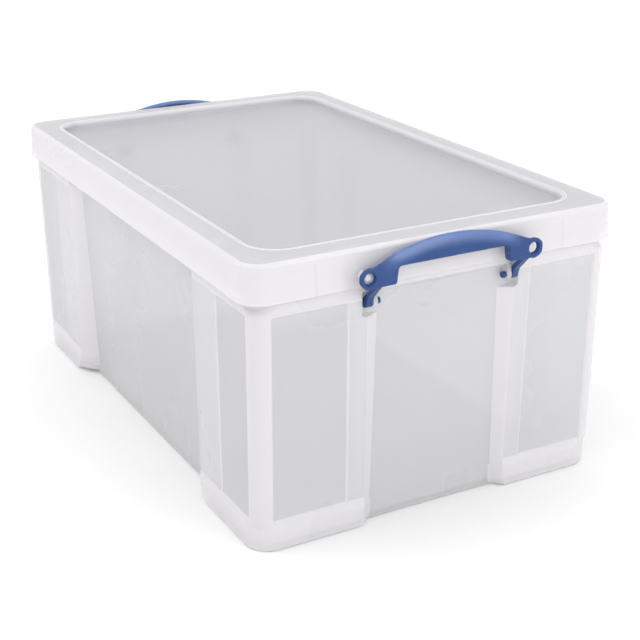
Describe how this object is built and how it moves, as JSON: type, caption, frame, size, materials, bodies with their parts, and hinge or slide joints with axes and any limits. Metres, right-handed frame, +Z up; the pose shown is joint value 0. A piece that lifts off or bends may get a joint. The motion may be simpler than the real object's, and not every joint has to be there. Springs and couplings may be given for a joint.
{
  "type": "under bed box",
  "caption": "Clear plastic storage box with a lift-off lid and a blue swinging carry handle hinged below the rim at each end.",
  "frame": {"origin": "on the floor, under the middle of the box", "axes": "+X along the box's length through both handles, +Y across it, +Z up"},
  "size_m": [0.712, 0.44, 0.313],
  "materials": {
    "clear_tub": "natural translucent polypropylene, smooth",
    "clear_lid": "natural translucent polypropylene, smooth",
    "blue_handle": "moulded blue polypropylene, satin gloss"
  },
  "bodies": {
    "tub": {"tub": "clear_tub"},
    "lid": {"lid": "clear_lid"},
    "handle_front": {"handle_front": "blue_handle"},
    "handle_back": {"handle_back": "blue_handle"}
  },
  "joints": [
    {"name": "lid_lift", "type": "slide", "parent": "tub", "child": "lid", "axis": [0, 0, 1], "range_m": [0, 0.15]},
    {"name": "handle_front_swing", "type": "hinge", "parent": "tub", "child": "handle_front", "pos_m": [0.3336, 0, 0.2507], "axis": [0, 1, 0], "range_deg": [0, 120]},
    {"name": "handle_back_swing", "type": "hinge", "parent": "tub", "child": "handle_back", "pos_m": [-0.3336, 0, 0.2507], "axis": [0, -1, 0], "range_deg": [0, 120]}
  ]
}
